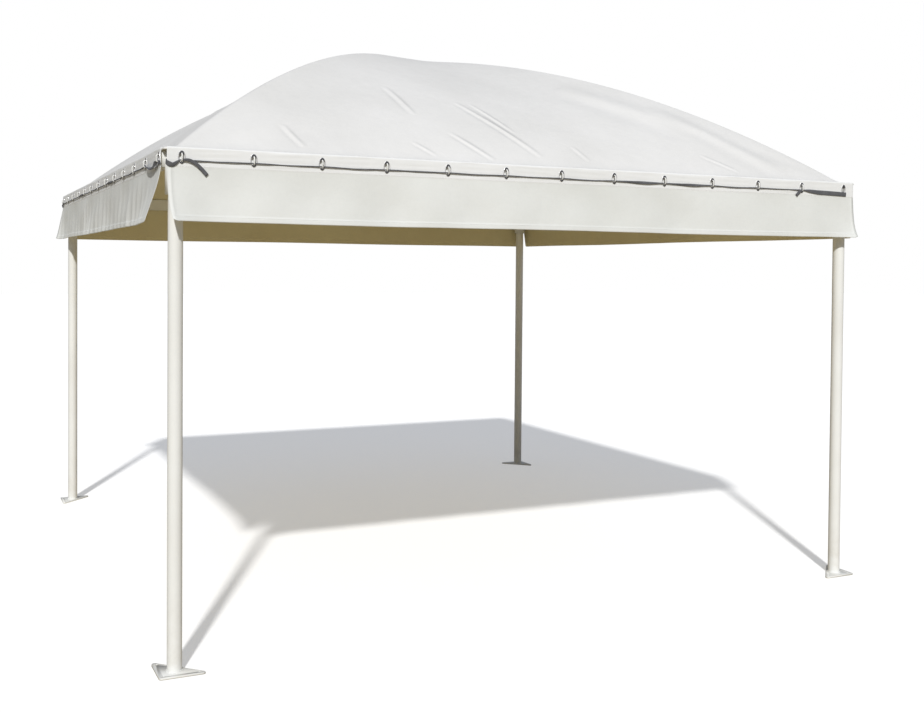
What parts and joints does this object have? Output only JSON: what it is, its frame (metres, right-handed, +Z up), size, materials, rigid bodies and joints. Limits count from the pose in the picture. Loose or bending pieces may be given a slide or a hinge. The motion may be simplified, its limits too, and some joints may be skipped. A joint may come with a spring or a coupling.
{
  "type": "garden gazebo",
  "caption": "Square white garden gazebo: a steel frame on posts with triangular foot plates, under a domed fabric roof laced on with grey straps, with separate hanging valances.",
  "frame": {"origin": "on the ground under the middle of the gazebo", "axes": "+Z up, -Y towards the front side seen in the picture, +X to the right seen from the front"},
  "size_m": [4.12, 4.12, 3.1743],
  "materials": {
    "white_paint": "satin powder coat",
    "white_cloth": "matt coated weave",
    "grey_webbing": "matt woven webbing"
  },
  "bodies": {
    "root": {"foot_plate_front_left": "white_paint", "foot_plate_front_right": "white_paint", "foot_plate_back_right": "white_paint", "foot_plate_back_left": "white_paint", "post_front_left": "white_paint", "post_front_right": "white_paint", "post_back_right": "white_paint", "post_back_left": "white_paint", "corner_joint_front_left": "white_paint", "corner_joint_front_right": "white_paint", "corner_joint_back_right": "white_paint", "corner_joint_back_left": "white_paint", "rib_front_left": "white_paint", "rib_front_right": "white_paint", "rib_back_right": "white_paint", "rib_back_left": "white_paint", "crown_hub": "white_paint", "beam_front": "white_paint", "beam_right": "white_paint", "beam_back": "white_paint", "beam_left": "white_paint", "roof_cover": "white_cloth", "hem_band_front": "white_cloth", "hem_band_right": "white_cloth", "hem_band_back": "white_cloth", "hem_band_left": "white_cloth", "valance_front": "white_cloth", "valance_right": "white_cloth", "valance_back": "white_cloth", "valance_left": "white_cloth", "strap_front": "grey_webbing", "strap_right": "grey_webbing", "strap_back": "grey_webbing", "strap_left": "grey_webbing"}
  },
  "joints": []
}
